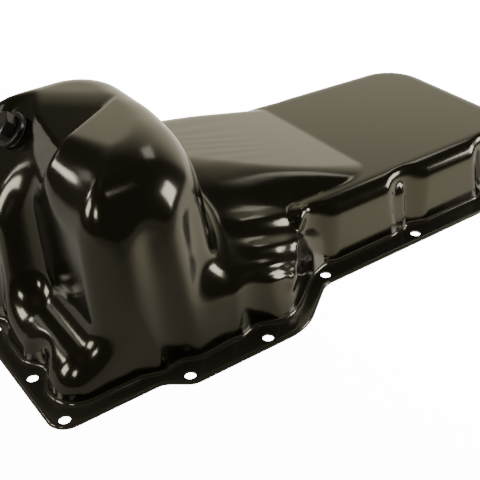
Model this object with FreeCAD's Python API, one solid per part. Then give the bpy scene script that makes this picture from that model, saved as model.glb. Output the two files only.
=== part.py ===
import FreeCAD, Part
import math
import os
from FreeCAD import Vector

os.makedirs("parts", exist_ok=True)

# Sizes in millimetres and degrees. The pan stands upside down on its flange, as on a bench.
# Lengths in x start at the flange's left end, in y at its widest near edge, in h at its upper face.

# Flange, with its edge rolled over downwards
LENGTH = 494.0
WIDTH = 255.6
SHEET = 1.6
FLANGE_HEIGHT = 2.6
EDGE_ROUND = 2.0
LEFT_STEP = 12.7
JOG_STEP = 32.7
BULGE_START = 77.7
BULGE_END = 94.4
JOG_START = 189.7
JOG_END = 231.7
NEAR_LEFT_ROUND = 14.0
BULGE_ROUND = 14.0
JOG_OUTER_ROUND = 48.0
JOG_INNER_ROUND = 20.0
END_ROUND = 20.0

# Bolt holes for M6
HOLE_RADIUS = 4.0
EDGE_DISTANCE = 8.6
LEFT_HOLE_INSET = 9.8
CORNER_HOLE_Y = 20.9
LEFT_ROW_FIRST = 69.65
RAIL_FIRST = 238.6
RAIL_END_INSET = 69.0
WIDE_HOLES_FIRST = 95.6
WIDE_HOLES_PITCH = 64.1
WIDE_HOLE_INSET = 7.8
RIGHT_ROW_EDGE = 13.95

# Shallow floor
SHALLOW_DEPTH = 51.0
SHALLOW_START = 212.0
SHALLOW_DRAFT = 5.0
SHALLOW_ROUND = 14.0
SHALLOW_FAR_TAPER = 12.5
TAPER_START = 300.0
SKIRT_SETBACK = 16.0
SHALLOW_LEFT_ROUND = 18.0
SHALLOW_NEAR_ROUND = 26.0
SHALLOW_FAR_ROUND = 45.0
TAPER_ROUND = 300.0

# Sump at its base, above its foot and at its top: corners are near-left, near-right, far-right, far-left,
# left-middle and left-front. The two far ones count y back from the far edge, the left-middle one from
# the middle of the left end.
SUMP_DEPTH = 145.0
SUMP_ROUND = 24.0
FOOT_HEIGHT = 42.0
SUMP_RIGHT = 163.4
SUMP_NEAR = 18.1
SUMP_BASE = [
    (18.0, SUMP_NEAR),
    (SUMP_RIGHT, SUMP_NEAR),
    (SUMP_RIGHT, 22.6),
    (13.2, 22.6),
    (12.4, 18.0),
    (14.2, 62.0),
]
SUMP_FOOT = [(37.0, 24.0), (160.0, 24.0), (160.0, 29.6), (17.0, 29.6), (17.5, 18.0), (30.0, 60.0)]
SUMP_TOP = [(52.0, 37.0), (150.5, 37.0), (150.5, 48.1), (29.0, 48.1), (32.0, 16.0), (46.5, 66.0)]
SUMP_ROUNDS_BASE = (20.0, 60.0, 42.0, 34.0, 60.0, 20.0)
SUMP_ROUNDS_FOOT = (24.0, 60.0, 42.0, 34.0, 60.0, 20.0)
SUMP_ROUNDS_TOP = (26.0, 60.0, 42.0, 34.0, 40.0, 20.0)

# Ramp from the sump to the shallow floor, with the shoulder over the jog. Each row of its walls is one
# section: set-back of the near wall and how far under the shallow floor it ends, y of the shoulder, and the
# top's inset from the far edge.
RAMP_END = 311.0
RAMP_SLOPE = 13.0
RAMP_ROUND = 8.0
RAMP_FOOT_INSIDE = 12.0
RAMP_RUN_IN = 33.0
RAMP_TURN = 8.0
RAMP_SKIRT_GAP = 1.0
RAMP_JOG_MARGIN = 4.0
RAMP_WALLS = [
    (12.0, 1.0, 139.0, 52.0),
    (9.0, 7.0, 132.0, 52.0),
    (9.0, 9.0, 127.0, 52.0),
    (10.0, 15.0, 113.0, 52.0),
    (5.0, 17.0, 93.0, 50.0),
    (4.0, 11.0, 70.0, 48.0),
]
RAMP_EDGE_LENGTH = 5.0
RAMP_EDGE_HEIGHT = 20.0

# Pockets pressed in the skirt to clear the bolt heads
RAIL_POCKET_RADIUS = 17.0
RAIL_POCKET_SHIFT = 5.0
RAIL_POCKET_DRAFT = 8.0
WIDE_POCKET_RADIUS = 15.0
WIDE_POCKET_SHIFT = 0.5
WIDE_POCKET_DRAFT = 1.0
LEFT_POCKET_SHIFT = 3.5
POCKET_HEIGHT = 100.0
POCKET_ROUND = 5.0

# Drain plug, its seat and the recess round it. The dent's corners are measured from the seat's centre.
SEAT_X = 62.0
SEAT_INSET = 90.0
SEAT_BELOW_TOP = 16.1
PLUG_TILT = 45.0
SEAT_RADIUS = 17.0
RECESS_FLARE = 45.0
RECESS_DEPTH = 60.0
DENT_TIP = (62.0, -26.6)
DENT_NEAR = (12.0, -65.6)
DENT_FAR = (18.0, 2.4)
DENT_DEEP = (14.0, -37.6)
DENT_DEPTH = 10.0
BORE_RADIUS = 7.0
BORE_CLEARANCE = 0.05
BOSS_PILOT_RADIUS = 9.0
BOSS_RADIUS = 13.0
BOSS_LENGTH = 8.0
GASKET_THICKNESS = 1.6
GASKET_INNER_GAP = 0.3
GASKET_RADIUS = 12.0
PLUG_FLANGE_RADIUS = 13.0
PLUG_FLANGE_THICKNESS = 3.5
HEX_ACROSS_FLATS = 17.0
HEX_HEIGHT = 9.0
HEX_CROWN_ANGLE = 30.0
SHANK_PAST_BOSS = 2.0
SMALL_CHAMFER = 1.0

# Places that follow from the sizes above
BELOW = 1.0
FLOOR_H = -FLANGE_HEIGHT - BELOW
SHALLOW_NEAR = JOG_STEP + SKIRT_SETBACK
SHALLOW_FAR = WIDTH - SKIRT_SETBACK
SHALLOW_RIGHT = LENGTH - SKIRT_SETBACK
CENTRE = Vector(-LENGTH / 2, -WIDTH / 2, 0)


def tan_deg(angle):
    return math.tan(math.radians(angle))


def at(x, y, h):
    return Vector(x, y, FLANGE_HEIGHT + h)


def rounded_wire(corners, radii, h):
    """Closed wire through the corners at height h, each corner rounded by its radius."""
    count = len(corners)
    arcs = []
    for i in range(count):
        corner = at(corners[i][0], corners[i][1], h)
        back = at(corners[i - 1][0], corners[i - 1][1], h)
        ahead = at(corners[(i + 1) % count][0], corners[(i + 1) % count][1], h)
        to_back = (back - corner).normalize()
        to_ahead = (ahead - corner).normalize()
        half = math.acos(to_back.dot(to_ahead)) / 2
        reach = radii[i] / math.tan(half)
        inward = (to_back + to_ahead).normalize()
        middle = corner + inward * (radii[i] / math.sin(half) - radii[i])
        arcs.append((corner + to_back * reach, middle, corner + to_ahead * reach))
    edges = []
    for i in range(count):
        edges.append(Part.Arc(*arcs[i]).toShape())
        edges.append(Part.makeLine(arcs[i][2], arcs[(i + 1) % count][0]))
    return Part.Wire(edges)


def edges_at(shape, h):
    """Edges that lie wholly in the level plane at height h."""
    z = FLANGE_HEIGHT + h
    return [e for e in shape.Edges if abs(e.BoundBox.ZMin - z) < 0.01 and abs(e.BoundBox.ZMax - z) < 0.01]


# The form is made twice: inset 0 is the outer skin, inset SHEET is the inner one.
def inset_corners(corners, inset):
    """Corners of the same outline with every side moved inwards by inset."""
    count = len(corners)
    moved = []
    for i in range(count):
        here = Vector(corners[i][0], corners[i][1], 0)
        into = (here - Vector(corners[i - 1][0], corners[i - 1][1], 0)).normalize()
        out = (Vector(corners[(i + 1) % count][0], corners[(i + 1) % count][1], 0) - here).normalize()
        inward = Vector(-into.y - out.y, into.x + out.x, 0).normalize()
        place = here + inward * (inset / inward.dot(Vector(-out.y, out.x, 0)))
        moved.append((place.x, place.y))
    return moved


def sump_form(inset):
    def section(level, rounds, h):
        corners = level[:2] + [(x, WIDTH - back) for x, back in level[2:4]]
        corners += [(level[4][0], LEFT_MIDDLE - level[4][1]), level[5]]
        return rounded_wire(inset_corners(corners, inset), [r - inset for r in rounds], h)

    top = SUMP_DEPTH - inset
    sections = [
        section(SUMP_BASE, SUMP_ROUNDS_BASE, FLOOR_H),
        section(SUMP_FOOT, SUMP_ROUNDS_FOOT, FOOT_HEIGHT),
        section(SUMP_TOP, SUMP_ROUNDS_TOP, top),
    ]
    body = Part.makeLoft(sections, True, True)
    return body.makeFillet(SUMP_ROUND - inset, edges_at(body, top))


def shallow_form(inset):
    def section(h):
        d = h * tan_deg(SHALLOW_DRAFT) + inset
        corners = [
            (SHALLOW_START + d, SHALLOW_NEAR + d),
            (SHALLOW_RIGHT - d, SHALLOW_NEAR + d),
            (SHALLOW_RIGHT - d, SHALLOW_FAR - SHALLOW_FAR_TAPER - d),
            (TAPER_START, SHALLOW_FAR - d),
            (SHALLOW_START + d, SHALLOW_FAR - d),
        ]
        rounds = (SHALLOW_LEFT_ROUND, SHALLOW_NEAR_ROUND, SHALLOW_FAR_ROUND, TAPER_ROUND, SHALLOW_LEFT_ROUND)
        return rounded_wire(corners, [r - inset for r in rounds], h)

    top = SHALLOW_DEPTH - inset
    body = Part.makeLoft([section(FLOOR_H), section(top)], True, True)
    return body.makeFillet(SHALLOW_ROUND - inset, edges_at(body, top))


def ramp_form(inset):
    def section(x, foot, set_back, drop, shoulder, far_inset):
        crest = SHALLOW_DEPTH + tan_deg(RAMP_SLOPE) * (RAMP_END - x) - inset
        points = [
            at(x, foot + inset, FLOOR_H),
            at(x, foot + set_back + inset, SHALLOW_DEPTH - drop),
            at(x, shoulder, crest),
            at(x, WIDTH - far_inset, crest),
            at(x, SHALLOW_FAR - inset, FLOOR_H),
        ]
        return Part.makePolygon(points + points[:1])

    feet = [
        (SUMP_RIGHT / 2, SUMP_NEAR + RAMP_FOOT_INSIDE),
        (SUMP_RIGHT - RAMP_RUN_IN, JOG_STEP / 2),
        (SUMP_RIGHT - RAMP_TURN, JOG_STEP / 2 - RAMP_SKIRT_GAP),
        (JOG_START - RAMP_JOG_MARGIN, JOG_STEP / 2),
        (JOG_END + RAMP_SKIRT_GAP, SHALLOW_NEAR + RAMP_SKIRT_GAP),
        (RAMP_END, SHALLOW_NEAR + RAMP_SKIRT_GAP),
    ]
    body = Part.makeLoft([section(*foot, *walls) for foot, walls in zip(feet, RAMP_WALLS)], True, True)
    long_edges = []
    for edge in body.Edges:
        box = edge.BoundBox
        if box.XLength > RAMP_EDGE_LENGTH and box.ZMin > FLANGE_HEIGHT + RAMP_EDGE_HEIGHT:
            long_edges.append(edge)
    return body.makeFillet(RAMP_ROUND - inset, long_edges)


def pocket(place, radius, draft, shift, inset):
    """Tapered cutter for the bolt pocket, moved off its hole by shift, its seam turned away from the wall."""
    grow = tan_deg(draft)
    low = radius + inset + FLOOR_H * grow
    high = radius + inset + POCKET_HEIGHT * grow
    centre = at(place[0] + shift[0], place[1] + shift[1], FLOOR_H)
    cone = Part.makeCone(low, high, POCKET_HEIGHT - FLOOR_H, centre, Vector(0, 0, 1))
    cone.rotate(centre, Vector(0, 0, 1), math.degrees(math.atan2(shift[1], shift[0])))
    return cone


def edges_on(shape, cutter):
    """Edges that a cutter's largest face has left on the shape, above the flange's underside."""
    wall = max(cutter.Faces, key=lambda face: face.Area)
    found = []
    for edge in shape.Edges:
        middle = edge.valueAt((edge.FirstParameter + edge.LastParameter) / 2)
        if middle.z > 0 and Part.Vertex(middle).distToShape(wall)[0] < 0.001:
            found.append(edge)
    return found


def rings(shape, radius, centre):
    """Full circles of one radius round a centre on the plug's axis."""
    found = []
    for edge in shape.Edges:
        if isinstance(edge.Curve, Part.Circle) and abs(edge.Curve.Radius - radius) < 0.001:
            if edge.Curve.Center.distanceToPoint(centre) < 0.001:
                found.append(edge)
    return found


def press_pockets(form, cutters, inset):
    """Cut each pocket and round the rim that it leaves."""
    for cutter in cutters:
        form = form.cut(cutter)
        form = form.makeFillet(POCKET_ROUND - inset, edges_on(form, cutter))
    return form


def recess_cutters(inset):
    """Conical recess round the plug's seat and the three-sided dent that runs from it over the sump's top."""
    radius = SEAT_RADIUS + inset * math.tan(math.radians((90 - RECESS_FLARE) / 2))
    cone = Part.makeCone(radius, radius + RECESS_DEPTH * tan_deg(RECESS_FLARE), RECESS_DEPTH,
                         SEAT - PLUG_AXIS * inset, PLUG_AXIS)
    rim = SEAT_BELOW_TOP + BELOW
    fall = math.atan2(DENT_DEPTH, DENT_TIP[0] - DENT_DEEP[0])
    reach = (BELOW + inset / math.cos(fall)) / math.tan(fall)
    tip = SEAT + Vector(DENT_TIP[0] + reach, DENT_TIP[1], rim)
    near = SEAT + Vector(DENT_NEAR[0], DENT_NEAR[1] - inset, rim)
    far = SEAT + Vector(DENT_FAR[0], DENT_FAR[1] + inset, rim)
    deep = SEAT + Vector(DENT_DEEP[0], DENT_DEEP[1], SEAT_BELOW_TOP - DENT_DEPTH - inset)
    loops = [(tip, near, deep), (tip, deep, far), (near, far, deep), (tip, far, near)]
    faces = [Part.Face(Part.makePolygon(list(loop) + [loop[0]])) for loop in loops]
    dent = Part.Solid(Part.Shell(faces))
    return [cone, dent]


def pressed_form(inset):
    def pockets(places, radius, draft, shift):
        return [pocket(place, radius, draft, shift, inset) for place in places]

    rail = pockets(near_rail, RAIL_POCKET_RADIUS, RAIL_POCKET_DRAFT, (0, -RAIL_POCKET_SHIFT))
    rail += pockets(far_rail[-2:-1], RAIL_POCKET_RADIUS, RAIL_POCKET_DRAFT, (0, RAIL_POCKET_SHIFT))
    left = pockets(left_row, WIDE_POCKET_RADIUS, WIDE_POCKET_DRAFT, (-LEFT_POCKET_SHIFT, 0))
    wide = pockets(wide_edge, WIDE_POCKET_RADIUS, WIDE_POCKET_DRAFT, (0, -WIDE_POCKET_SHIFT))
    shallow = press_pockets(shallow_form(inset), rail, inset)
    sump = press_pockets(sump_form(inset), left, inset)
    ramp = ramp_form(inset).cut(rail)
    form = sump.fuse([shallow, ramp]).removeSplitter()
    form = press_pockets(form, wide, inset)
    return form.cut(recess_cutters(inset))


PLUG_AXIS = Vector(-math.sin(math.radians(PLUG_TILT)), 0, math.cos(math.radians(PLUG_TILT)))
SEAT = at(SEAT_X, WIDTH - SEAT_INSET, SUMP_DEPTH - SEAT_BELOW_TOP)

# Bolt hole places
LEFT_MIDDLE = (LEFT_STEP + WIDTH) / 2
RIGHT_MIDDLE = (JOG_STEP + WIDTH) / 2
LEFT_ROW_PITCH = LEFT_MIDDLE - LEFT_ROW_FIRST
RAIL_PITCH = (LENGTH - RAIL_END_INSET - RAIL_FIRST) / 2
RIGHT_ROW_PITCH = (WIDTH - JOG_STEP - 2 * RIGHT_ROW_EDGE) / 3
near_rail = [(RAIL_FIRST + i * RAIL_PITCH, JOG_STEP + EDGE_DISTANCE) for i in range(3)]
far_rail = [(RAIL_FIRST + i * RAIL_PITCH, WIDTH - EDGE_DISTANCE) for i in range(-2, 3)]
wide_edge = [(WIDE_HOLES_FIRST + i * WIDE_HOLES_PITCH, WIDE_HOLE_INSET) for i in range(2)]
left_row = [(LEFT_HOLE_INSET, LEFT_MIDDLE + i * LEFT_ROW_PITCH) for i in (-1, 0, 1)]
left_corners = [(LEFT_HOLE_INSET, CORNER_HOLE_Y), (LEFT_HOLE_INSET, 2 * LEFT_MIDDLE - CORNER_HOLE_Y)]
right_row = [(LENGTH - LEFT_HOLE_INSET, RIGHT_MIDDLE + i * RIGHT_ROW_PITCH) for i in (-1.5, -0.5, 0.5, 1.5)]
holes = near_rail + far_rail + wide_edge + left_row + left_corners + right_row

# Flange plate with its rolled edge
outline_corners = [
    (0, LEFT_STEP),
    (BULGE_START, LEFT_STEP),
    (BULGE_END, 0),
    (JOG_START, 0),
    (JOG_END, JOG_STEP),
    (LENGTH, JOG_STEP),
    (LENGTH, WIDTH),
    (0, WIDTH),
]
outline_rounds = [NEAR_LEFT_ROUND, BULGE_ROUND, BULGE_ROUND, JOG_OUTER_ROUND, JOG_INNER_ROUND]
outline_rounds += [END_ROUND] * 3
outline = rounded_wire(outline_corners, outline_rounds, -FLANGE_HEIGHT)
plate = Part.Face(outline).extrude(Vector(0, 0, FLANGE_HEIGHT))
plate = plate.makeFillet(EDGE_ROUND, edges_at(plate, 0))
underside = Part.Face(outline.makeOffset2D(-SHEET)).extrude(Vector(0, 0, FLANGE_HEIGHT - SHEET))
plate = plate.cut(underside)

# The pressing: flange and outer skin together, hollowed by the inner skin
outer = pressed_form(0).common(Part.makeBox(LENGTH, WIDTH, 2 * SUMP_DEPTH, at(0, 0, -SHEET)))
pan_body = plate.fuse(outer).removeSplitter().cut(pressed_form(SHEET))
drill_length = 2 * FLANGE_HEIGHT
drills = [Part.makeCylinder(HOLE_RADIUS, drill_length, at(x, y, SHEET - drill_length)) for x, y in holes]
drills.append(Part.makeCylinder(BOSS_PILOT_RADIUS, 6 * SHEET, SEAT - PLUG_AXIS * 3 * SHEET, PLUG_AXIS))
pan_body = pan_body.cut(drills)

# Threaded boss inside the sump, its pilot flush with the seat
boss_back = SEAT - PLUG_AXIS * (SHEET + BOSS_LENGTH)
drain_boss = Part.makeCylinder(BOSS_RADIUS, BOSS_LENGTH, boss_back, PLUG_AXIS)
drain_boss = drain_boss.fuse(Part.makeCylinder(BOSS_PILOT_RADIUS, SHEET + BOSS_LENGTH, boss_back, PLUG_AXIS))
drain_boss = drain_boss.removeSplitter()
drain_boss = drain_boss.cut(Part.makeCylinder(BORE_RADIUS, SHEET + BOSS_LENGTH, boss_back, PLUG_AXIS))
drain_boss = drain_boss.makeChamfer(SMALL_CHAMFER, rings(drain_boss, BOSS_RADIUS, boss_back))

# Sealing ring and plug
shank_radius = BORE_RADIUS - BORE_CLEARANCE
drain_plug_gasket = Part.makeCylinder(GASKET_RADIUS, GASKET_THICKNESS, SEAT, PLUG_AXIS)
drain_plug_gasket = drain_plug_gasket.cut(
    Part.makeCylinder(shank_radius + GASKET_INNER_GAP, GASKET_THICKNESS, SEAT, PLUG_AXIS))

flange_face = SEAT + PLUG_AXIS * GASKET_THICKNESS
head_base = flange_face + PLUG_AXIS * PLUG_FLANGE_THICKNESS
shank_length = GASKET_THICKNESS + SHEET + BOSS_LENGTH + SHANK_PAST_BOSS
corner_radius = HEX_ACROSS_FLATS / math.sqrt(3)
hexagon = []
for i in range(6):
    turn = math.radians(60 * i)
    hexagon.append(Vector(corner_radius * math.cos(turn), corner_radius * math.sin(turn), 0))
head = Part.Face(Part.makePolygon(hexagon + hexagon[:1])).extrude(Vector(0, 0, HEX_HEIGHT))
crown_radius = HEX_ACROSS_FLATS / 2 - SMALL_CHAMFER / 2
crown = Part.makeCone(crown_radius + HEX_HEIGHT / tan_deg(HEX_CROWN_ANGLE), crown_radius, HEX_HEIGHT)
head = head.common(crown)
head.Placement = FreeCAD.Placement(head_base, FreeCAD.Rotation(Vector(0, 0, 1), PLUG_AXIS))
collar = Part.makeCylinder(PLUG_FLANGE_RADIUS, PLUG_FLANGE_THICKNESS, flange_face, PLUG_AXIS)
collar = collar.makeFillet(SMALL_CHAMFER, rings(collar, PLUG_FLANGE_RADIUS, head_base))
shank = Part.makeCylinder(shank_radius, shank_length, flange_face - PLUG_AXIS * shank_length, PLUG_AXIS)
shank = shank.makeChamfer(SMALL_CHAMFER, rings(shank, shank_radius, flange_face - PLUG_AXIS * shank_length))
drain_plug = head.fuse([collar, shank]).removeSplitter()

nodes = {
    "pan_body": pan_body,
    "drain_boss": drain_boss,
    "drain_plug_gasket": drain_plug_gasket,
    "drain_plug": drain_plug,
}
for name, shape in nodes.items():
    shape.translate(CENTRE)
    shape.exportStep("parts/" + name + ".step")
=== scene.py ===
import math

import bpy
import numpy as np
from mathutils import Matrix, Vector


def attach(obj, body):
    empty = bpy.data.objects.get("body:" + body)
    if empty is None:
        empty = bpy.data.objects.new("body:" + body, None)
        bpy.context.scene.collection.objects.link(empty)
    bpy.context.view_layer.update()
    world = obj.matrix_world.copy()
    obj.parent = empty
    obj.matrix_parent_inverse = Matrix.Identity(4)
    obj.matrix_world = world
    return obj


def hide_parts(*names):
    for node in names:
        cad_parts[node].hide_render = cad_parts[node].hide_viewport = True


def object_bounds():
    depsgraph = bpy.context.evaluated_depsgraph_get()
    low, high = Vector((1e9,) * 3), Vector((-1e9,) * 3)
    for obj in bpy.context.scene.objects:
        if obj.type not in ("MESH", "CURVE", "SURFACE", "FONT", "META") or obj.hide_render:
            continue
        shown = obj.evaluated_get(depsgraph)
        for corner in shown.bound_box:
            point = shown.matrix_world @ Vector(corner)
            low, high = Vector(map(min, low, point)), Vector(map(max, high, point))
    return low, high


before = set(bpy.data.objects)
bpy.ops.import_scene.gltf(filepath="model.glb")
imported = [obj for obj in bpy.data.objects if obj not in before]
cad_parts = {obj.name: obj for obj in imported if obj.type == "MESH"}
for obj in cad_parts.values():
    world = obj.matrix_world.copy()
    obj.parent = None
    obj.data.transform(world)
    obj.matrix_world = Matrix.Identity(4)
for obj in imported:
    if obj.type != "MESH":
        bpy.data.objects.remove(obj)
cad_low, cad_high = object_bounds()
bpy.ops.object.select_all(action="DESELECT")

MM = 0.001

# Sizes in millimetres and degrees. Lengths in x start at the flange's left end, in y at its widest near
# edge, in z at the rolled edge that the pan stands on. The frame's own box gives the flange's extent.
LENGTH = (cad_high[0] - cad_low[0]) / MM
WIDTH = (cad_high[1] - cad_low[1]) / MM
SHEET = 1.6

# Flange
PLATE_TOP = 2.6
EDGE_ROUND = 2.0
FOLD_ROUND = 3.0
LEFT_STEP = 12.7
JOG_STEP = 32.7
BULGE_START = 77.7
BULGE_END = 94.4
JOG_START = 189.7
JOG_END = 231.7
FLANGE_CORNERS = [(0, LEFT_STEP), (BULGE_START, LEFT_STEP), (BULGE_END, 0), (JOG_START, 0),
                  (JOG_END, JOG_STEP), (LENGTH, JOG_STEP), (LENGTH, WIDTH), (0, WIDTH)]
FLANGE_ROUNDS = [14, 14, 14, 48, 20, 20, 20, 20]

# Bolt holes, with the length and the middle height of the drill
HOLE_RADIUS = 4.0
HOLE_SIDES = 48
DRILL_LENGTH = 8.0
DRILL_MIDDLE = 1.0
EDGE_DISTANCE = 8.6
END_DISTANCE = 9.8
CORNER_HOLE_Y = 20.9
NEAR_RAIL_FIRST = 238.6
FAR_RAIL_FIRST = 52.2
RAIL_PITCH = 93.2
WIDE_EDGE_FIRST = 95.6
WIDE_EDGE_DISTANCE = 7.8
WIDE_EDGE_PITCH = 64.1
LEFT_PITCH = 64.5
RIGHT_PITCH = 65.0

# Pockets that clear the bolt heads
RAIL_POCKET_RADIUS = 17.0
RAIL_POCKET_SHIFT = 5.0
RAIL_POCKET_DRAFT = 8.0
RAIL_POCKET_ROUND = 5.0
WIDE_POCKET_RADIUS = 15.0
WIDE_POCKET_DRAFT = 2.0
WIDE_POCKET_ROUND = 6.0
LEFT_POCKET_SHIFT = 3.5

# Shallow floor and the skirt round it
SHALLOW_TOP = 53.6
SHALLOW_DRAFT = 5.0
SHALLOW_ROUND = 14.0
SHALLOW_START = 212.0
SHALLOW_FAR_TAPER = 12.5
TAPER_START = 300.0
SKIRT_SETBACK = 16.0
SHALLOW_ROUNDS = [18, 26, 45, 300, 18]

# Ramp: the stations along x, and at each one the foot of the near wall, the y and z of the wall's top and
# the y of the shoulder. The near wall's lean is given as a cosine, and the far wall by its outward
# direction in y and z.
RAMP_START = 110.0
RAMP_END = 311.0
RAMP_SLOPE = 13.0
RAMP_STATIONS = [90, 130, 155, 186, 233, 311, 330]
RAMP_FOOT = [26, 20, 16, 16, 46, 50, 50]
RAMP_WALL_Y = [40, 27, 25, 26, 54, 54, 54]
RAMP_WALL_Z = [53, 47, 45, 39, 37, 43, 43]
RAMP_SHOULDER = [139, 132, 127, 113, 93, 70, 66]
RAMP_NEAR_COSINE = 0.98
RAMP_FAR_FACING = (0.996, 0.0872)
RAMP_FAR_INSET = 9.0
RAMP_FAR_BLEND = (150, 250)
RAMP_SHOULDER_ROUND = 10.0
RAMP_NEAR_ROUND = 9.0
RAMP_FAR_ROUND = 22.0
RAMP_JOIN = 12.0

# Sump: column, and on its left the lobe that carries the drain plug
SUMP_TOP = 147.6
SUMP_NEAR = 18.1
SUMP_FAR = 233.0
SUMP_RIGHT = 163.4
NEAR_LEAN = 7.3
RIGHT_LEAN = 5.2
FAR_LEAN = 10.0
NEAR_LEFT_ROUND = 19.0
NEAR_RIGHT_ROUND = 62.0
FAR_RIGHT_ROUND = 42.0
FAR_LEFT_ROUND = 30.0
COLUMN_LEFT = 44.0
COLUMN_LEAN = 3.0
LOBE_LEFT = 12.4
LOBE_LEAN = 7.0
LOBE_NEAR = 100.0
LOBE_NEAR_LEAN = 16.5
LOBE_ROUND = 16.0
SHELF_PLACE = (40, 60, 34)
SHELF_FACING = (-0.25, -0.05, 1.0)
VALLEY_ROUND = 10.0
VALLEY_GROWTH = 0.06
VALLEY_TOP = 110.0

# Sump's near wall: its set-back beside the flange's step, and the shallow waves in it
SET_BACK = 6.7
SET_BACK_LEAN = 0.014
SET_BACK_SKEW = 0.8
SET_BACK_Y = 20.0
SET_BACK_BLEND = (70, 90)
WAVE_DEPTH = 1.7
WAVE_LENGTH = 35.0
WAVE_PLACE = 71.7
WAVE_FOOT = (12, 45)
WAVE_HEAD = (95, 125)

# Sump's top: lower over the lobe, rounder on the near side, with a gully of three flat faces
LOBE_DROP = 6.0
LOBE_DROP_X = (35, 80)
LOBE_DROP_Y = (110, 160)
CROWN_ROUND = 24.0
CROWN_NEAR_ROUND = 20.0
CROWN_BLEND = (60, 130)
GULLY_LEFT = ((73, 120, 136), (-0.6, -0.1, 0.79))
GULLY_FAR = ((126, 139, SUMP_TOP), (-0.148, -0.169, 0.974))
GULLY_NEAR = ((66, 101, SUMP_TOP), (-0.50, 0.79, 0.35))
GULLY_ROUND = 2.5

# Drain plug's seat and the hollow over it
SEAT = np.array([62.0, 165.6, 131.5])
PLUG_TILT = 45.0
PILOT_RADIUS = 9.0
PILOT_SIDES = 64
PILOT_DRILL_LENGTH = 10.0
HOLLOW_SIDE = ((90, 184), (60, 130))
HOLLOW_SIDE_LEAN = -12.0
HOLLOW_BACK = 186.0
HOLLOW_CORNER_ROUND = 6.0
HOLLOW_RIM_ROUND = 12.0
SEAT_ROUND = 4.0

# Folds over the jog as (place up the wall, height, half width), and how that place climbs with x and y
JOG_FOLDS = [(24, 1.6, 4.5), (37, 1.6, 4.5), (54, 2.0, 6), (79, 2.2, 8)]
FOLD_ORIGIN = (182, 38)
FOLD_CLIMB = (0.25, 0.667)
FOLD_LEFT = (162, 180)
FOLD_RIGHT = (214, 236)
FOLD_FOOT = (8, 18)
FOLD_HEAD = (95, 120)

# Sharper ridge between the jog and the first bolt pocket, from its top to its foot
RIDGE_TOP = (232, 61, 51)
RIDGE_FOOT = (194, 24, 24)
RIDGE_HEIGHT = 2.6
RIDGE_WIDTH = 4.5

# Fine streaks along the ramp
STREAK_HEIGHT = 0.05
STREAK_SPACING = 2.1
STREAK_WANDER = 2.2
STREAK_WANDER_X = 31.0
STREAK_WANDER_Y = 13.0
STREAK_LEFT = (150, 175)
STREAK_RIGHT = (225, 270)
STREAK_NEAR = (95, 125)
STREAK_FAR = (200, 225)
STREAK_FOOT = (56, 66)

# Grid that the pressing's skin is taken from: steps in plan, and runs of height as (start, end, step). The
# skin is cut at one level, and what then lies under the other is its flat foot.
GRID_MARGIN = 2.2
GRID_STEP = 2.45
FOOT_RUNS = [(-1.2, 4.2, 0.6), (4.2, 9, 1.2)]
UPPER_RUNS = [(9, 36, 2.8), (36, 58, 2.4), (58, 112, 3.4), (112, 152, 2.4)]
CUT_LEVEL = 0.02
RIM_LEVEL = 0.05
PAN_SMOOTH_ANGLE = 38.0

# Drain plug's shank, measured along its axis from the seat, and its thread
SHANK_END = -11.6
SHANK_TOP = 1.5
THREAD_PITCH = 1.5
THREAD_CREST = 6.9
THREAD_ROOT = 6.0
THREAD_STEEPNESS = 1.4
THREAD_ROOT_WIDTH = 0.15
THREAD_RUN_OUT = (-0.6, 0.4)
TIP_RADIUS = 5.7
TIP_SLOPE = 0.9
ROWS_PER_TURN = 10
SHANK_SIDES = 64
PLUG_SMOOTH_ANGLE = 22.0

# Finishes: colours, ranges of roughness and how fine they wander, the paint's orange peel, and the heights
# in metres between which the painted light on the flange, a lighter base colour, fades into the walls' paint
PAINT_COLOR = (0.004, 0.0034, 0.0018)
PAINT_GLEAM = (1.0, 0.95, 0.74)
PAINT_IOR = 1.52
PAINT_ROUGHNESS = (0.10, 0.20)
PAINT_FINENESS = 60
# Painted light: a lighter base colour on the flange, standing in for the light that its flat top catches
FLANGE_PAINTED_LIGHT = (0.020, 0.018, 0.014)
FLANGE_LIGHT_FADE = (0.0024, 0.0072)
PEEL_FINENESS = 900
PEEL_STRENGTH = 0.03
PEEL_HEIGHT = 0.0004
STEEL_COLOR = (0.02, 0.018, 0.015)
STEEL_ROUGHNESS = (0.2, 0.4)
WASHER_COLOR = (0.5, 0.48, 0.44)
WASHER_ROUGHNESS = (0.3, 0.45)
METAL_FINENESS = 300
FLOOR_COLOR = (0.35, 0.35, 0.35)
WHITE = (1.0, 1.0, 1.0)

# Floor, in metres: its radiance as the camera and as the paint sees it, and where it fades towards the left
# and the camera
FLOOR_SIZE = 8.0
FLOOR_SEEN = 14.0
FLOOR_REFLECTED = 1.6
FLOOR_DIM = 0.15
FLOOR_LEFT_SHARE = 0.2
FLOOR_LEFT_BLEND = (-0.16, 0.08)
FLOOR_NEAR_BLEND = (-0.46, -0.20)
FLOOR_TINT = (1.0, 0.93, 0.76)

# Studio: radiance of its pale wall, dim sides and ceiling, and the ranges of direction where they blend
WALL_LEVEL = 1.45
DIM_LEVEL = 0.12
CEILING_LEVEL = 0.25
WALL_BLEND_X = (0.0, 0.42)
WALL_BLEND_Y = (0.1, 0.45)
WALL_BLEND_Z = (0.2, 1.0)
CEILING_BLEND = (0.90, 1.0)
STUDIO_TINT = (1.0, 0.94, 0.72)

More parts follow.
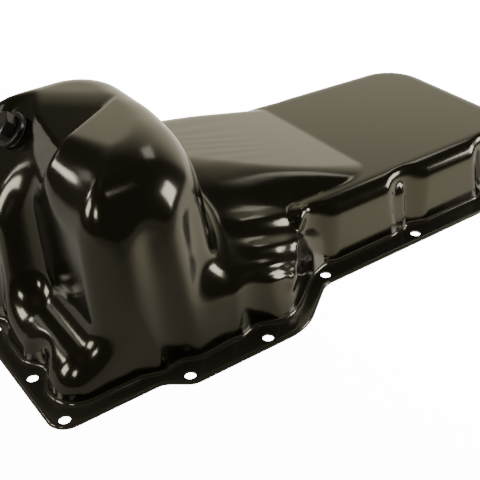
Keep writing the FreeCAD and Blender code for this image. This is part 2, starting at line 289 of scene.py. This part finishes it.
# Soft boxes by direction from the sump, size in metres and power in watts
LAMP_AIM = Vector((-0.2, -0.02, 0.12))
LAMP_DISTANCE = 1.6
LAMP_TINT = (1.0, 0.97, 0.92)
SOFT_BOXES = [
    ("left_box", (-0.73, -0.42, 0.57), 0.30, 6),
    ("front_box", (0.33, -0.50, 0.80), 0.08, 0.22),
    ("right_box", (0.87, -0.42, 0.26), 0.46, 12),
    ("jog_box", (0.74, 0.20, 0.62), 0.26, 0.7),
    ("side_box", (-0.85, 0.24, 0.46), 0.50, 14),
    ("far_left_box", (-0.62, 0.62, 0.48), 0.22, 3.0),
    ("facet_box", (-0.42, 0.72, 0.545), 0.26, 0.4),
]

# Camera
CAMERA_PLACE = Vector((-0.37554, -0.52730, 0.41372))
CAMERA_FORWARD = Vector((0.4595, 0.6969, -0.5507))
CAMERA_RIGHT = Vector((0.8198, -0.5713, -0.0388))
LENS = 69.24
SENSOR_WIDTH = 36.0
NEAREST_SEEN = 0.01

# Bolt hole places
left_middle = (LEFT_STEP + WIDTH) / 2
right_middle = (JOG_STEP + WIDTH) / 2
near_rail = [(NEAR_RAIL_FIRST + RAIL_PITCH * i, JOG_STEP + EDGE_DISTANCE) for i in range(3)]
far_rail = [(FAR_RAIL_FIRST + RAIL_PITCH * i, WIDTH - EDGE_DISTANCE) for i in range(5)]
wide_edge = [(WIDE_EDGE_FIRST + WIDE_EDGE_PITCH * i, WIDE_EDGE_DISTANCE) for i in range(2)]
left_row = [(END_DISTANCE, left_middle + LEFT_PITCH * i) for i in (-1, 0, 1)]
left_corners = [(END_DISTANCE, CORNER_HOLE_Y), (END_DISTANCE, 2 * left_middle - CORNER_HOLE_Y)]
right_row = [(LENGTH - END_DISTANCE, right_middle + RIGHT_PITCH * i) for i in (-1.5, -0.5, 0.5, 1.5)]
bolt_holes = near_rail + far_rail + wide_edge + left_row + left_corners + right_row


# Distance fields: each takes p = (x, y, z) arrays and is negative inside the body
def meet(a, b, radius):
    """What two bodies share, with the outer edge between them rounded."""
    corner = np.hypot(np.maximum(a + radius, 0), np.maximum(b + radius, 0))
    return np.minimum(-radius, np.maximum(a, b)) + corner


def join(a, b, radius):
    """Two bodies together, with a fillet of the radius in the corner between them."""
    return -meet(-a, -b, radius)


def wall(p, start, end, lean, level=0.0):
    """Wall through two plan points at a level, leaning inwards as it rises. The body is on its left."""
    dx = end[0] - start[0]
    dy = end[1] - start[1]
    out = ((p[0] - start[0]) * dy - (p[1] - start[1]) * dx) / math.hypot(dx, dy)
    tilt = math.radians(lean)
    return out * math.cos(tilt) + (p[2] - level) * math.sin(tilt)


def slab(p, point, facing):
    """Everything under a plane through a point."""
    length = math.sqrt(sum(n * n for n in facing))
    return sum((p[i] - point[i]) * facing[i] for i in range(3)) / length


def fade(value, start, end):
    """Runs smoothly from 0 at start to 1 at end."""
    t = np.clip((value - start) / (end - start), 0, 1)
    return t * t * (3 - 2 * t)


def band(value, rise, fall):
    """Runs smoothly from 0 to 1 over the first range and back to 0 over the second."""
    return fade(value, *rise) * (1 - fade(value, *fall))


def curve(x, places, values):
    """Smooth track through a few values along x."""
    places = np.array(places, float)
    values = np.array(values, float)
    slopes = np.gradient(values, places)
    x = np.clip(x, places[0], places[-1])
    i = np.clip(np.searchsorted(places, x) - 1, 0, len(places) - 2)
    step = places[i + 1] - places[i]
    t = (x - places[i]) / step
    low = (2 * t**3 - 3 * t**2 + 1) * values[i] + (t**3 - 2 * t**2 + t) * step * slopes[i]
    high = (3 * t**2 - 2 * t**3) * values[i + 1] + (t**3 - t**2) * step * slopes[i + 1]
    return low + high


def pocket(p, place, radius, draft):
    """Upright tapered hollow over a bolt hole."""
    away = np.hypot(p[0] - place[0], p[1] - place[1])
    grow = math.radians(draft)
    return (away - radius) * math.cos(grow) - p[2] * math.sin(grow)


def press_pockets(body, p, places, radius, draft, rim_round):
    """The body with a pocket over each place, its rim rounded."""
    for place in places:
        body = meet(body, -pocket(p, place, radius, draft), rim_round)
    return body


def rounded_outline(corners, rounds, steps=10):
    """Points along a closed outline with its corners turned into arcs."""
    points = []
    count = len(corners)
    for i in range(count):
        corner = Vector(corners[i])
        back = (Vector(corners[i - 1]) - corner).normalized()
        ahead = (Vector(corners[(i + 1) % count]) - corner).normalized()
        half = back.angle(ahead) / 2
        inward = (back + ahead).normalized()
        centre = corner + inward * (rounds[i] / math.sin(half))
        first = corner + back * (rounds[i] / math.tan(half)) - centre
        turn = first.angle_signed(corner + ahead * (rounds[i] / math.tan(half)) - centre)
        for k in range(steps + 1):
            angle = -turn * k / steps
            points.append((centre.x + first.x * math.cos(angle) - first.y * math.sin(angle),
                           centre.y + first.x * math.sin(angle) + first.y * math.cos(angle)))
    return points


def outline_distance(x, y, corners):
    """Signed distance in plan to a closed outline, negative inside."""
    best = 1e9
    inside = False
    for i in range(len(corners)):
        ax, ay = corners[i - 1]
        bx, by = corners[i]
        dx = bx - ax
        dy = by - ay
        t = np.clip(((x - ax) * dx + (y - ay) * dy) / (dx * dx + dy * dy), 0, 1)
        best = np.minimum(best, (x - ax - t * dx)**2 + (y - ay - t * dy)**2)
        if dy:
            crosses = (ay > y) != (by > y)
            inside = inside ^ (crosses & (x < ax + (y - ay) * dx / dy))
    best = np.sqrt(best)
    return np.where(inside, -best, best)


flange_outline = rounded_outline(FLANGE_CORNERS, FLANGE_ROUNDS)
shallow_near = JOG_STEP + SKIRT_SETBACK
shallow_far = WIDTH - SKIRT_SETBACK
shallow_right = LENGTH - SKIRT_SETBACK
shallow_corners = [(SHALLOW_START, shallow_near), (shallow_right, shallow_near),
                   (shallow_right, shallow_far - SHALLOW_FAR_TAPER), (TAPER_START, shallow_far),
                   (SHALLOW_START, shallow_far)]
shallow_outline = rounded_outline(shallow_corners, SHALLOW_ROUNDS)


def plate(p):
    """Flange with its rolled edge."""
    return meet(outline_distance(p[0], p[1], flange_outline), p[2] - PLATE_TOP, EDGE_ROUND)


def shallow(p):
    """Tray of the shallow floor, with three bolt pockets on its near side and one on its far side."""
    lean = math.radians(SHALLOW_DRAFT)
    walls = outline_distance(p[0], p[1], shallow_outline) * math.cos(lean) + p[2] * math.sin(lean)
    body = meet(walls, p[2] - SHALLOW_TOP, SHALLOW_ROUND)
    places = [(x, y - RAIL_POCKET_SHIFT) for x, y in near_rail]
    places += [(x, y + RAIL_POCKET_SHIFT) for x, y in far_rail[3:4]]
    return press_pockets(body, p, places, RAIL_POCKET_RADIUS, RAIL_POCKET_DRAFT, RAIL_POCKET_ROUND)


def ramp(p):
    """Sloping shoulder between the sump and the shallow floor."""
    x, y, z = p
    foot = curve(x, RAMP_STATIONS, RAMP_FOOT)
    wall_y = curve(x, RAMP_STATIONS, RAMP_WALL_Y)
    wall_z = curve(x, RAMP_STATIONS, RAMP_WALL_Z)
    shoulder = curve(x, RAMP_STATIONS, RAMP_SHOULDER)
    fall = math.radians(RAMP_SLOPE)
    crest = SHALLOW_TOP + math.tan(fall) * (RAMP_END - x)
    slope = (crest - wall_z) / (shoulder - wall_y)
    face = (z - wall_z - (y - wall_y) * slope) / np.sqrt(1 + slope**2)
    top = (z - crest) * math.cos(fall)
    near = (foot + (wall_y - foot) * z / wall_z - y) * RAMP_NEAR_COSINE
    far_foot = shallow_far - RAMP_FAR_INSET * (1 - fade(x, *RAMP_FAR_BLEND))
    far = (y - far_foot) * RAMP_FAR_FACING[0] + z * RAMP_FAR_FACING[1]
    body = meet(meet(face, top, RAMP_SHOULDER_ROUND), near, RAMP_NEAR_ROUND)
    body = meet(body, far, RAMP_FAR_ROUND)
    return np.maximum(body, np.maximum(x - RAMP_STATIONS[-1], RAMP_START - x))


def sump_left(p):
    """Left side of the sump: the column, the lobe that carries the drain plug, and a shelf at their foot."""
    column = wall(p, (COLUMN_LEFT, SUMP_FAR), (COLUMN_LEFT, SUMP_NEAR), COLUMN_LEAN)
    lobe_near = wall(p, (LOBE_LEFT, LOBE_NEAR), (COLUMN_LEFT, LOBE_NEAR), LOBE_NEAR_LEAN)
    lobe_left = wall(p, (LOBE_LEFT, SUMP_FAR), (LOBE_LEFT, SUMP_NEAR), LOBE_LEAN)
    shelf = slab(p, SHELF_PLACE, SHELF_FACING)
    lobe = meet(join(lobe_near, shelf, LOBE_ROUND), lobe_left, LOBE_ROUND)
    return join(column, lobe, VALLEY_ROUND + VALLEY_GROWTH * np.clip(p[2], 0, VALLEY_TOP))


def sump_near(p):
    """Near side of the sump, set back beside the flange's step and lightly waved."""
    x, y, z = p
    lean = math.radians(NEAR_LEAN)
    plain = SUMP_NEAR + math.tan(lean) * z
    step = SET_BACK * (1 - fade(x + SET_BACK_SKEW * (y - SET_BACK_Y), *SET_BACK_BLEND))
    stepped = SUMP_NEAR + step + SET_BACK_LEAN * z
    wave = WAVE_DEPTH * np.cos(2 * math.pi * (x - WAVE_PLACE) / WAVE_LENGTH) * band(z, WAVE_FOOT, WAVE_HEAD)
    return (np.maximum(plain, stepped) - y - wave) * math.cos(lean)


def plug_hollow(p):
    """What the hollow over the drain plug's seat leaves: the seat is a tilted flat, open on its near side."""
    tilt = math.radians(PLUG_TILT)
    seat = slab(p, SEAT, (-math.sin(tilt), 0, math.cos(tilt)))
    side = wall(p, *HOLLOW_SIDE, HOLLOW_SIDE_LEAN, SEAT[2])
    back = wall(p, (0, HOLLOW_BACK), (HOLLOW_SIDE[0][0], HOLLOW_BACK), 0)
    hollow = meet(-side, -back, HOLLOW_CORNER_ROUND)
    return join(seat, -hollow, SEAT_ROUND)


def gully(p):
    """What the gully leaves: it runs from between the lobe and the column over the sump's top."""
    return np.minimum(np.maximum(slab(p, *GULLY_LEFT), slab(p, *GULLY_FAR)), slab(p, *GULLY_NEAR))


def sump(p):
    """Deep end of the pan."""
    x, y, z = p
    left = sump_left(p)
    near = sump_near(p)
    right = wall(p, (SUMP_RIGHT, SUMP_NEAR), (SUMP_RIGHT, SUMP_FAR), RIGHT_LEAN)
    far = wall(p, (SUMP_RIGHT, SUMP_FAR), (LOBE_LEFT, SUMP_FAR), FAR_LEAN)
    near_walls = np.maximum(meet(left, near, NEAR_LEFT_ROUND), meet(near, right, NEAR_RIGHT_ROUND))
    far_walls = np.maximum(meet(right, far, FAR_RIGHT_ROUND), meet(far, left, FAR_LEFT_ROUND))
    crown = z - SUMP_TOP + LOBE_DROP * (1 - fade(x, *LOBE_DROP_X)) * fade(y, *LOBE_DROP_Y)
    crown_round = CROWN_ROUND + CROWN_NEAR_ROUND * (1 - fade(y, *CROWN_BLEND))
    body = meet(np.maximum(near_walls, far_walls), crown, crown_round)
    body = meet(body, plug_hollow(p), HOLLOW_RIM_ROUND)
    return meet(body, gully(p), GULLY_ROUND)


def jog_folds(p):
    """Height of the folds that drawing the sheet leaves over the jog."""
    x, y, z = p
    climb = z + FOLD_CLIMB[1] * (y - FOLD_ORIGIN[1]) + FOLD_CLIMB[0] * (x - FOLD_ORIGIN[0])
    total = 0
    for place, height, width in JOG_FOLDS:
        total = total + height * np.exp(-((climb - place) / width)**2)
    return total * band(x, FOLD_LEFT, FOLD_RIGHT) * fade(z, *FOLD_FOOT) * (1 - fade(y, *FOLD_HEAD))


def jog_ridge(p):
    """Height of the straight ridge beside the folds."""
    run = [foot - top for top, foot in zip(RIDGE_TOP, RIDGE_FOOT)]
    away = [p[i] - RIDGE_TOP[i] for i in range(3)]
    t = np.clip(sum(away[i] * run[i] for i in range(3)) / sum(r * r for r in run), 0, 1)
    distance = sum((away[i] - t * run[i])**2 for i in range(3))
    return RIDGE_HEIGHT * np.exp(-distance / RIDGE_WIDTH**2)


def ramp_streaks(p):
    """Height of the fine streaks along the ramp."""
    x, y, z = p
    wander = STREAK_WANDER * np.sin(x / STREAK_WANDER_X + y / STREAK_WANDER_Y)
    there = band(x, STREAK_LEFT, STREAK_RIGHT) * fade(z, *STREAK_FOOT) * band(y, STREAK_NEAR, STREAK_FAR)
    return STREAK_HEIGHT * np.sin(y / STREAK_SPACING + wander) * there


def skin(p):
    """Outer skin of the whole pressing."""
    left_places = [(x - LEFT_POCKET_SHIFT, y) for x, y in left_row]
    body = press_pockets(sump(p), p, left_places, WIDE_POCKET_RADIUS, WIDE_POCKET_DRAFT, WIDE_POCKET_ROUND)
    body = join(body, ramp(p), RAMP_JOIN)
    body = np.minimum(body, shallow(p))
    body = body - (jog_folds(p) + jog_ridge(p) + ramp_streaks(p))
    body = press_pockets(body, p, wide_edge, WIDE_POCKET_RADIUS, WIDE_POCKET_DRAFT, WIDE_POCKET_ROUND)
    return join(body, plate(p), FOLD_ROUND)


# Mesh of the skin
def skin_slope(p, value, step=0.05):
    """How the skin's field changes at each point, which is its outward direction."""
    parts = []
    for axis in range(3):
        ahead = list(p)
        ahead[axis] = p[axis] + step
        parts.append((skin(ahead) - value) / step)
    return np.stack(parts, axis=1)


def settle(points, rounds, longest=1.5, flattest=0.05):
    """Moves points along the field's slope on to the skin."""
    for _ in range(rounds):
        p = [points[:, 0], points[:, 1], points[:, 2]]
        value = skin(p)
        slope = skin_slope(p, value)
        steepness = np.maximum((slope**2).sum(1), flattest)
        move = np.clip(value / steepness, -longest, longest)
        points = points - slope * move[:, None]
    return points


def relax(points, quads, rounds):
    """Evens the spacing of the points without leaving the skin."""
    for _ in range(rounds):
        total = np.zeros_like(points)
        count = np.zeros(len(points))
        for k in range(4):
            a = quads[:, k]
            b = quads[:, (k + 1) % 4]
            np.add.at(total, a, points[b])
            np.add.at(count, a, 1)
            np.add.at(total, b, points[a])
            np.add.at(count, b, 1)
        points = (points + total / count[:, None]) / 2
        points = settle(points, 1)
    return points


def levels(*runs):
    """Grid lines in runs of (start, end, step)."""
    lines = []
    for start, end, step in runs:
        count = max(1, round((end - start) / step))
        lines += [start + (end - start) * k / count for k in range(count)]
    return np.array(lines + [runs[-1][1]])


def neighbours(axis):
    """Slices that take each point of the grid and the next one along an axis."""
    low = [slice(None)] * 3
    high = [slice(None)] * 3
    low[axis] = slice(None, -1)
    high[axis] = slice(1, None)
    return tuple(low), tuple(high)


def cells_beside(index, across, shift):
    """Cells round grid edges, by how far they lie back along the two axes across the edge."""
    cells = index.copy()
    cells[:, across[0]] -= shift[0]
    cells[:, across[1]] -= shift[1]
    return cells


def cell_points(lines, value):
    """A point in each cell that the skin passes through, amid its crossings of the cell's edges."""
    solid = value < 0
    cell_shape = np.array(value.shape) - 1
    counts = np.zeros(cell_shape)
    sums = np.zeros((*cell_shape, 3))
    for axis in range(3):
        low, high = neighbours(axis)
        crossed = solid[low] != solid[high]
        index = np.argwhere(crossed)
        a = value[low][crossed]
        b = value[high][crossed]
        crossing = np.stack([lines[k][index[:, k]] for k in range(3)], axis=1)
        gap = lines[axis][index[:, axis] + 1] - lines[axis][index[:, axis]]
        crossing[:, axis] += gap * a / (a - b)
        across = [k for k in range(3) if k != axis]
        for shift in ((0, 0), (0, 1), (1, 0), (1, 1)):
            cells = cells_beside(index, across, shift)
            kept = (cells >= 0).all(1) & (cells < cell_shape).all(1)
            where = tuple(cells[kept].T)
            np.add.at(counts, where, 1)
            np.add.at(sums, where, crossing[kept])
    used = counts > 0
    number = np.full(counts.shape, -1)
    number[used] = np.arange(used.sum())
    return sums[used] / counts[used][:, None], number


def edge_quads(value, number):
    """A quad round each grid edge that the skin crosses, from the numbered cells, turned outwards."""
    solid = value < 0
    quads = []
    for axis in range(3):
        low, high = neighbours(axis)
        index = np.argwhere(solid[low] != solid[high])
        across = [(axis + 1) % 3, (axis + 2) % 3]
        last_cells = np.array(number.shape)[across]
        kept = (index[:, across] > 0).all(1) & (index[:, across] < last_cells).all(1)
        index = index[kept]
        leaving = solid[low][tuple(index.T)]
        ring = [cells_beside(index, across, shift) for shift in ((1, 1), (0, 1), (0, 0), (1, 0))]
        quad = np.stack([number[tuple(cells.T)] for cells in ring], axis=1)
        quad[~leaving] = quad[~leaving][:, ::-1]
        quads.append(quad)
    return np.concatenate(quads)


def surface_net(xs, ys, zs):
    """Points and quads of the skin on a grid whose lines may be unevenly spaced."""
    value = skin(np.meshgrid(xs, ys, zs, indexing="ij", sparse=True))
    points, number = cell_points((xs, ys, zs), value)
    return points, edge_quads(value, number)


# Objects
def to_frame(points):
    """Millimetres from the flange's corner to metres in the frame."""
    return points * MM + np.array([cad_low[0], cad_low[1], 0.0])


def new_object(name, points, faces):
    mesh = bpy.data.meshes.new(name)
    mesh.from_pydata([tuple(point) for point in points], [], faces)
    mesh.validate()
    obj = bpy.data.objects.new(name, mesh)
    bpy.context.collection.objects.link(obj)
    return obj


def activate(obj):
    bpy.ops.object.select_all(action="DESELECT")
    obj.select_set(True)
    bpy.context.view_layer.objects.active = obj


def unit(vectors):
    return vectors / np.maximum(np.linalg.norm(vectors, axis=1), 1e-6)[:, None]


def outer_skin():
    """Points and faces of the pressing's outer skin, cut level at its foot."""
    coarse = 1.0
    xs = levels((-GRID_MARGIN, LENGTH + GRID_MARGIN, GRID_STEP * coarse))
    ys = levels((-GRID_MARGIN, WIDTH + GRID_MARGIN, GRID_STEP * coarse))
    zs = levels(*FOOT_RUNS, *[(start, end, step * coarse) for start, end, step in UPPER_RUNS])
    points, quads = surface_net(xs, ys, zs)
    points = settle(points, 4)
    points = relax(points, quads, 3)
    points = settle(points, 3)
    whole = new_object("whole_skin", points, [tuple(quad) for quad in quads])
    activate(whole)
    bpy.ops.object.mode_set(mode="EDIT")
    bpy.ops.mesh.select_all(action="SELECT")
    bpy.ops.mesh.bisect(plane_co=(0, 0, CUT_LEVEL), plane_no=(0, 0, -1), clear_outer=True)
    bpy.ops.object.mode_set(mode="OBJECT")
    places = np.empty(len(whole.data.vertices) * 3)
    whole.data.vertices.foreach_get("co", places)
    faces = [tuple(face.vertices) for face in whole.data.polygons]
    bpy.data.objects.remove(whole)
    return places.reshape(-1, 3), faces


def pressing():
    """The pan's outer skin with its inner skin one sheet inside, joined at the foot."""
    outer, faces = outer_skin()
    p = [outer[:, 0], outer[:, 1], outer[:, 2]]
    outward = unit(skin_slope(p, skin(p)))
    rim = outer[:, 2] < RIM_LEVEL
    outer[rim, 2] = 0.0
    outward[rim, 2] = 0.0
    inner = outer - unit(outward) * SHEET
    count = len(outer)
    edges = dict.fromkeys((face[k], face[(k + 1) % len(face)]) for face in faces for k in range(len(face)))
    border = [(a, b) for a, b in edges if (b, a) not in edges]
    inside_faces = [tuple(corner + count for corner in reversed(face)) for face in faces]
    foot_faces = [(b, a, a + count, b + count) for a, b in border]
    points = to_frame(np.concatenate([outer, inner]))
    return new_object("pan_pressing", points, faces + inside_faces + foot_faces)


def drill_holes(pan):
    """Bolt holes, and the pilot hole of the drain plug's boss."""
    cutters = []
    for x, y in bolt_holes:
        bpy.ops.mesh.primitive_cylinder_add(vertices=HOLE_SIDES, radius=HOLE_RADIUS * MM,
                                            depth=DRILL_LENGTH * MM,
                                            location=to_frame(np.array([x, y, DRILL_MIDDLE])))
        cutters.append(bpy.context.object)
    bpy.ops.mesh.primitive_cylinder_add(vertices=PILOT_SIDES, radius=PILOT_RADIUS * MM,
                                        depth=PILOT_DRILL_LENGTH * MM, location=to_frame(SEAT),
                                        rotation=(0, -math.radians(PLUG_TILT), 0))
    cutters.append(bpy.context.object)
    for cutter in cutters:
        cutter.select_set(True)
    bpy.ops.object.join()
    drill = bpy.context.object
    activate(pan)
    cut = pan.modifiers.new("drill", "BOOLEAN")
    cut.object = drill
    cut.operation = "DIFFERENCE"
    cut.solver = "EXACT"
    bpy.ops.object.modifier_apply(modifier="drill")
    bpy.data.objects.remove(drill)
    bpy.ops.object.shade_smooth_by_angle(angle=math.radians(PAN_SMOOTH_ANGLE))


def threaded_shank(seat_centre, axis):
    """Shank with a helical thread that runs out under the plug's collar, and a tapered tip."""
    across = Vector((0, 1, 0))
    upward = axis.cross(across)
    rows = np.arange(SHANK_END, SHANK_TOP + 0.1, THREAD_PITCH / ROWS_PER_TURN)
    along, turn = np.meshgrid(rows, np.arange(SHANK_SIDES) / SHANK_SIDES, indexing="ij")
    wave = 1 - np.abs(2 * ((along / THREAD_PITCH - turn) % 1) - 1)
    ridge = np.clip(THREAD_STEEPNESS * wave - THREAD_ROOT_WIDTH, 0, 1) * (1 - fade(along, *THREAD_RUN_OUT))
    radius = THREAD_ROOT + (THREAD_CREST - THREAD_ROOT) * ridge
    radius = np.minimum(radius, TIP_RADIUS + TIP_SLOPE * (along - SHANK_END))
    points = []
    for a, t, r in zip(along.ravel(), turn.ravel(), radius.ravel()):
        angle = 2 * math.pi * t
        out = across * (r * math.cos(angle)) + upward * (r * math.sin(angle))
        points.append(seat_centre + (axis * a + out) * MM)
    faces = []
    for i in range(len(rows) - 1):
        first = i * SHANK_SIDES
        for j in range(SHANK_SIDES):
            k = (j + 1) % SHANK_SIDES
            faces.append((first + j, first + k, first + SHANK_SIDES + k, first + SHANK_SIDES + j))
    faces.append(tuple(reversed(range(SHANK_SIDES))))
    faces.append(tuple(range((len(rows) - 1) * SHANK_SIDES, len(rows) * SHANK_SIDES)))
    return new_object("shank", points, faces)


def threaded_plug():
    """Drain plug with the head and collar of the solid and a rolled thread on its shank."""
    axis = Vector((-math.sin(math.radians(PLUG_TILT)), 0, math.cos(math.radians(PLUG_TILT))))
    seat_centre = Vector(to_frame(SEAT))
    plug = bpy.data.objects.new("drain_plug_threaded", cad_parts["drain_plug"].data.copy())
    bpy.context.collection.objects.link(plug)
    activate(plug)
    bpy.ops.mesh.customdata_custom_splitnormals_clear()
    bpy.ops.object.mode_set(mode="EDIT")
    bpy.ops.mesh.select_all(action="SELECT")
    bpy.ops.mesh.remove_doubles(threshold=1e-6)
    bpy.ops.mesh.bisect(plane_co=seat_centre + axis * (SHANK_TOP * MM), plane_no=axis, use_fill=True,
                        clear_inner=True)
    bpy.ops.object.mode_set(mode="OBJECT")
    shank = threaded_shank(seat_centre, axis)
    activate(plug)
    shank.select_set(True)
    bpy.ops.object.join()
    bpy.ops.object.shade_smooth_by_angle(angle=math.radians(PLUG_SMOOTH_ANGLE))
    return plug


pan = pressing()
drill_holes(pan)
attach(pan, "pan")
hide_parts("pan_body")

plug = threaded_plug()
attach(plug, "plug")
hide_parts("drain_plug")


# Nodes that the materials share
def material(name, color, metallic, roughness, ior=1.5):
    mat = bpy.data.materials.new(name)
    mat.use_nodes = True
    shader = mat.node_tree.nodes["Principled BSDF"]
    shader.inputs["Base Color"].default_value = (*color, 1)
    shader.inputs["Metallic"].default_value = metallic
    shader.inputs["Roughness"].default_value = roughness
    shader.inputs["IOR"].default_value = ior
    return mat, mat.node_tree, shader


def object_place(tree):
    return tree.nodes.new("ShaderNodeTexCoord").outputs["Object"]


def parts_of(tree, place):
    """The x, y and z sockets of a place."""
    node = tree.nodes.new("ShaderNodeSeparateXYZ")
    tree.links.new(place, node.inputs["Vector"])
    return node.outputs


def add_noise(tree, fineness, detail):
    noise = tree.nodes.new("ShaderNodeTexNoise")
    noise.inputs["Scale"].default_value = fineness
    noise.inputs["Detail"].default_value = detail
    tree.links.new(object_place(tree), noise.inputs["Vector"])
    return noise.outputs["Fac"]


def blend(tree, source, span, low, high, shape="SMOOTHSTEP"):
    """Carries a value over a span to the values low and high at its ends."""
    node = tree.nodes.new("ShaderNodeMapRange")
    node.interpolation_type = shape
    for name, value in (("From Min", span[0]), ("From Max", span[1]), ("To Min", low), ("To Max", high)):
        node.inputs[name].default_value = value
    tree.links.new(source, node.inputs["Value"])
    return node.outputs["Result"]


def combine(tree, operation, first, second):
    node = tree.nodes.new("ShaderNodeMath")
    node.operation = operation
    tree.links.new(first, node.inputs[0])
    tree.links.new(second, node.inputs[1])
    return node.outputs["Value"]


def mix_colors(tree, factor, first, second):
    node = tree.nodes.new("ShaderNodeMix")
    node.data_type = "RGBA"
    tree.links.new(factor, node.inputs["Factor"])
    node.inputs["A"].default_value = (*first, 1)
    node.inputs["B"].default_value = (*second, 1)
    return node.outputs["Result"]


def vary_roughness(tree, shader, fineness, detail, span):
    """Roughness that wanders over the surface between the two ends of a span."""
    rough = blend(tree, add_noise(tree, fineness, detail), (0.0, 1.0), *span, "LINEAR")
    tree.links.new(rough, shader.inputs["Roughness"])


def paint_over(piece, mat):
    piece.data.materials.clear()
    piece.data.materials.append(mat)


# Finishes
def black_paint():
    """Deep gloss paint with a fine orange peel, and a lighter base colour on the flange that is painted
    light.
    """
    paint, tree, shader = material("black_paint", PAINT_COLOR, metallic=0.0, roughness=0.16, ior=PAINT_IOR)
    shader.inputs["Specular Tint"].default_value = (*PAINT_GLEAM, 1)
    vary_roughness(tree, shader, PAINT_FINENESS, 4, PAINT_ROUGHNESS)
    # Painted light: the base colour is lighter on the flange and turns into the paint's own colour up the
    # fold
    height = parts_of(tree, object_place(tree))["Z"]
    up = blend(tree, height, FLANGE_LIGHT_FADE, 0.0, 1.0, "LINEAR")
    tree.links.new(mix_colors(tree, up, FLANGE_PAINTED_LIGHT, PAINT_COLOR), shader.inputs["Base Color"])
    bump = tree.nodes.new("ShaderNodeBump")
    bump.inputs["Strength"].default_value = PEEL_STRENGTH
    bump.inputs["Distance"].default_value = PEEL_HEIGHT
    tree.links.new(add_noise(tree, PEEL_FINENESS, 2), bump.inputs["Height"])
    tree.links.new(bump.outputs["Normal"], shader.inputs["Normal"])
    return paint


def dark_steel():
    steel, tree, shader = material("plug_steel", STEEL_COLOR, metallic=0.3, roughness=0.3)
    vary_roughness(tree, shader, METAL_FINENESS, 3, STEEL_ROUGHNESS)
    return steel


def pale_washer():
    washer, tree, shader = material("seal_ring", WASHER_COLOR, metallic=0.9, roughness=0.35)
    vary_roughness(tree, shader, METAL_FINENESS, 3, WASHER_ROUGHNESS)
    return washer


paint_over(pan, black_paint())
steel = dark_steel()
paint_over(plug, steel)
paint_over(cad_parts["drain_boss"], steel)
paint_over(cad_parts["drain_plug_gasket"], pale_washer())


# Floor, studio, lamps and camera
def white_to_camera(tree, level, tint, color_socket, level_socket):
    """Gives a surface a tint and level in the paint's reflections, and plain bright white to the camera."""
    sight = tree.nodes.new("ShaderNodeLightPath").outputs["Is Camera Ray"]
    tree.links.new(mix_colors(tree, sight, tint, WHITE), color_socket)
    to_camera = blend(tree, sight, (0.0, 1.0), 0.0, FLOOR_SEEN)
    tree.links.new(combine(tree, "ADD", level, to_camera), level_socket)


def lay_floor():
    """Floor that the camera sees bright, and the paint dimmer towards the left and the camera."""
    bpy.ops.mesh.primitive_plane_add(size=FLOOR_SIZE, location=(0, 0, 0))
    floor = bpy.context.object
    floor.name = "floor"
    white, tree, shader = material("floor_white", FLOOR_COLOR, metallic=0.0, roughness=0.9)
    place = parts_of(tree, object_place(tree))
    across = blend(tree, place["X"], FLOOR_LEFT_BLEND, FLOOR_LEFT_SHARE, 1.0)
    along = blend(tree, place["Y"], FLOOR_NEAR_BLEND, FLOOR_DIM, FLOOR_REFLECTED)
    level = combine(tree, "MULTIPLY", across, along)
    glow = shader.inputs
    white_to_camera(tree, level, FLOOR_TINT, glow["Emission Color"], glow["Emission Strength"])
    floor.data.materials.append(white)


def light_studio():
    """A pale wall low on the far right, dim sides and a soft ceiling."""
    world = bpy.data.worlds.new("studio")
    bpy.context.scene.world = world
    world.use_nodes = True
    tree = world.node_tree
    way = parts_of(tree, tree.nodes.new("ShaderNodeTexCoord").outputs["Generated"])
    right = blend(tree, way["X"], WALL_BLEND_X, 0.0, 1.0)
    far = blend(tree, way["Y"], WALL_BLEND_Y, 0.0, 1.0)
    low = blend(tree, way["Z"], WALL_BLEND_Z, WALL_LEVEL, 0.0)
    pale_wall = combine(tree, "MULTIPLY", combine(tree, "MULTIPLY", right, far), low)
    ceiling = blend(tree, way["Z"], CEILING_BLEND, DIM_LEVEL, CEILING_LEVEL)
    sky = tree.nodes["Background"].inputs
    level = combine(tree, "ADD", pale_wall, ceiling)
    white_to_camera(tree, level, STUDIO_TINT, sky["Color"], sky["Strength"])


def hang_soft_box(name, way, size, power):
    lamp = bpy.data.lights.new(name, "AREA")
    lamp.shape = "SQUARE"
    lamp.size = size
    lamp.energy = power
    lamp.color = LAMP_TINT
    obj = bpy.data.objects.new(name, lamp)
    bpy.context.collection.objects.link(obj)
    obj.visible_camera = False
    obj.location = LAMP_AIM + Vector(way) * LAMP_DISTANCE
    obj.rotation_euler = (LAMP_AIM - obj.location).to_track_quat("-Z", "Y").to_euler()


def place_camera():
    data = bpy.data.cameras.new("camera")
    data.sensor_width = SENSOR_WIDTH
    data.lens = LENS
    data.clip_start = NEAREST_SEEN
    camera = bpy.data.objects.new("camera", data)
    bpy.context.collection.objects.link(camera)
    back = -CAMERA_FORWARD.normalized()
    side = (CAMERA_RIGHT - back * CAMERA_RIGHT.dot(back)).normalized()
    turned = Matrix((side, back.cross(side), back)).transposed().to_4x4()
    camera.matrix_world = Matrix.Translation(CAMERA_PLACE) @ turned
    bpy.context.scene.camera = camera


lay_floor()
light_studio()
place_camera()
for name, way, size, power in SOFT_BOXES:
    hang_soft_box(name, way, size, power)
